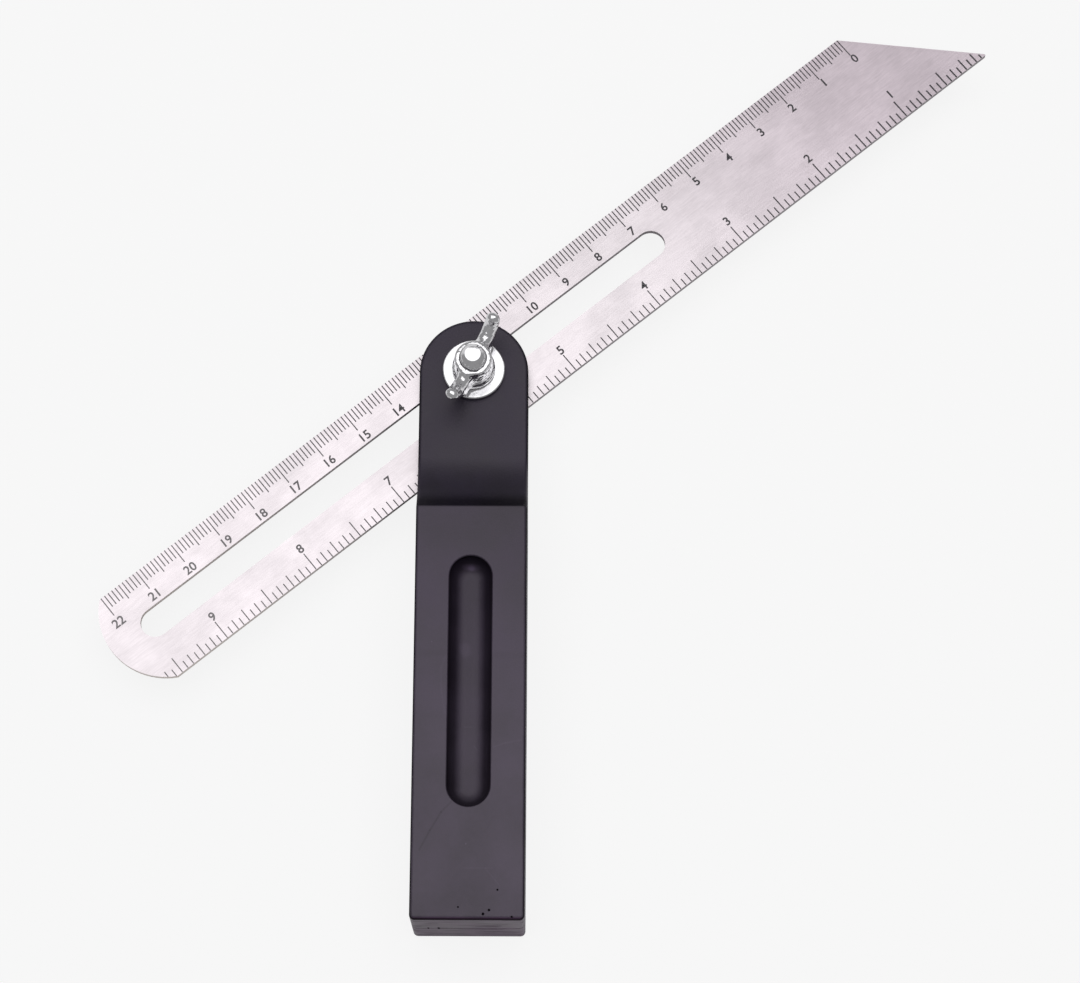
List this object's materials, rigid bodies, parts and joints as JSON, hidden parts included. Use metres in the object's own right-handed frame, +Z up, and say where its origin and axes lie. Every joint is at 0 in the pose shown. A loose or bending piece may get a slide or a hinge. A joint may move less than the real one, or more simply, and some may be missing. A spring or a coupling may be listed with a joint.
{
  "type": "sliding bevel",
  "caption": "Sliding T-bevel: slotted steel blade that swings and slides on a bolt in an open-kerf plastic stock, clamped by a wing nut.",
  "frame": {"origin": "on the stock's back face, on its centre line, midway between the back grip groove and the butt", "axes": "+X to the right, +Y along the stock from butt to pivot, +Z up through the stock towards the wing nut, along the pivot axis"},
  "size_m": [0.2061, 0.2139, 0.0301],
  "materials": {
    "stock_plastic": "black moulded plastic, matte",
    "blade_steel": "stainless steel brushed along the blade",
    "bright_plate": "bright nickel or chrome plate"
  },
  "bodies": {
    "stock": {"stock_front_half": "stock_plastic", "stock_back_half": "stock_plastic"},
    "pivot": {"pivot_bolt": "bright_plate"},
    "blade": {"blade": "blade_steel"},
    "washer": {"washer": "bright_plate"},
    "wing_nut": {"wing_nut": "bright_plate"}
  },
  "joints": [
    {"name": "blade_swing", "type": "hinge", "parent": "stock", "child": "pivot", "pos_m": [0, 0.11515, 0.012], "axis": [0, 0, 1], "range_deg": [-115, 217]},
    {"name": "blade_slide", "type": "slide", "parent": "pivot", "child": "blade", "axis": [0.7738, 0.6334, 0], "range_m": [-0.0515, 0.091]},
    {"name": "clamp_lift", "type": "slide", "parent": "pivot", "child": "washer", "axis": [0, 0, 1], "range_m": [0, 0.0015]},
    {"name": "wing_nut_turn", "type": "hinge", "parent": "washer", "child": "wing_nut", "pos_m": [0, 0.11515, 0.0198], "axis": [0, 0, 1], "range_deg": [0, 540]}
  ],
  "couplings": [
    {"joint": "clamp_lift", "follows": "wing_nut_turn", "m_per_rad": 0.00015915}
  ]
}
